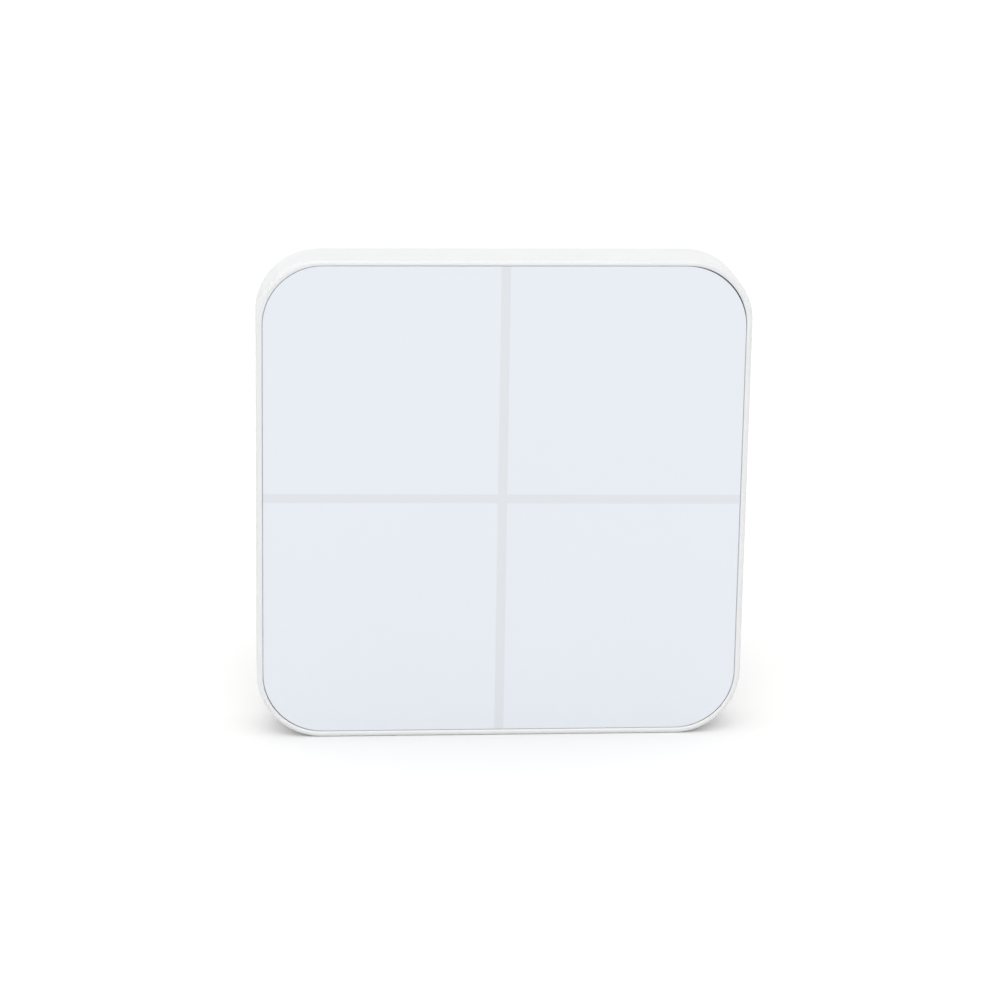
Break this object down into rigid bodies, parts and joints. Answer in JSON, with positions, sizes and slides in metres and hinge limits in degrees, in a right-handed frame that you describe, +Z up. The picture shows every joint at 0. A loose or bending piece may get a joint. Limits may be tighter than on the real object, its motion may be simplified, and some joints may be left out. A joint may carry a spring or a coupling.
{
  "type": "wireless wall switch",
  "caption": "Square battery-powered touch wall switch: white frame, flat glass panel divided by a cross into touch zones, and a magnetic rear plate for the wall.",
  "frame": {"origin": "middle of the wall plate's wall face", "axes": "+X is right as seen from the front, +Y points into the wall and is the face normal of the wall face, +Z is up"},
  "size_m": [0.075, 0.013, 0.075],
  "materials": {
    "white_plastic": "fine satin",
    "grey_plastic": "satin",
    "panel_glass": "polished, coloured on its back",
    "adhesive": "dull",
    "board": "solder mask",
    "copper": "plated",
    "led_plastic": "clear moulding",
    "black_plastic": "moulded",
    "ceramic": "fired",
    "sheet_steel": "pressed sheet",
    "heavy_metal": "sintered",
    "nickel": "plated",
    "pouch_foil": "foil",
    "wire_sleeve": "smooth sleeve",
    "connector_plastic": "moulded"
  },
  "bodies": {
    "wall_plate": {"wall_plate": "white_plastic", "keeper_discs": "sheet_steel"},
    "housing": {"front_frame": "white_plastic", "rear_cover": "white_plastic", "cover_glass": "panel_glass", "panel_tape": "adhesive", "sensor_adhesive": "adhesive", "battery_tape": "adhesive", "circuit_board": "board", "radio_board": "board", "battery_guard_board": "board", "sensor_electrodes": "copper", "radio_antenna": "copper", "charge_socket_contacts": "copper", "status_led": "led_plastic", "touch_chip": "black_plastic", "charge_chip": "black_plastic", "radio_chip": "black_plastic", "charge_socket_tongue": "black_plastic", "switch_case": "black_plastic", "board_parts": "ceramic", "radio_shield": "sheet_steel", "charge_socket_shell": "sheet_steel", "switch_cover": "sheet_steel", "motor_case": "sheet_steel", "motor_base": "sheet_steel", "motor_shaft": "sheet_steel", "cover_screws": "sheet_steel", "magnets": "nickel", "battery_cell": "pouch_foil", "battery_leads": "wire_sleeve", "motor_leads": "wire_sleeve", "battery_plug": "connector_plastic", "battery_socket": "connector_plastic"},
    "action_button": {"action_button": "grey_plastic"},
    "switch_plunger": {"switch_plunger": "black_plastic"},
    "motor_rotor": {"motor_rotor": "heavy_metal"}
  },
  "joints": [
    {"name": "housing_slide", "type": "slide", "parent": "wall_plate", "child": "housing", "axis": [0, -1, 0], "range_m": [0, 0.03]},
    {"name": "button_press", "type": "slide", "parent": "housing", "child": "action_button", "axis": [0, -1, 0], "range_m": [0, 0.0003], "stiffness_N_per_m": 800, "springref_m": -0.0003},
    {"name": "plunger_press", "type": "slide", "parent": "housing", "child": "switch_plunger", "axis": [0, -1, 0], "range_m": [0, 0.0003]},
    {"name": "rotor_spin", "type": "hinge", "parent": "housing", "child": "motor_rotor", "pos_m": [0.0255, -0.0087, 0], "axis": [0, 1, 0], "continuous": true}
  ],
  "couplings": [
    {"joint": "plunger_press", "follows": "button_press", "ratio": 1}
  ]
}
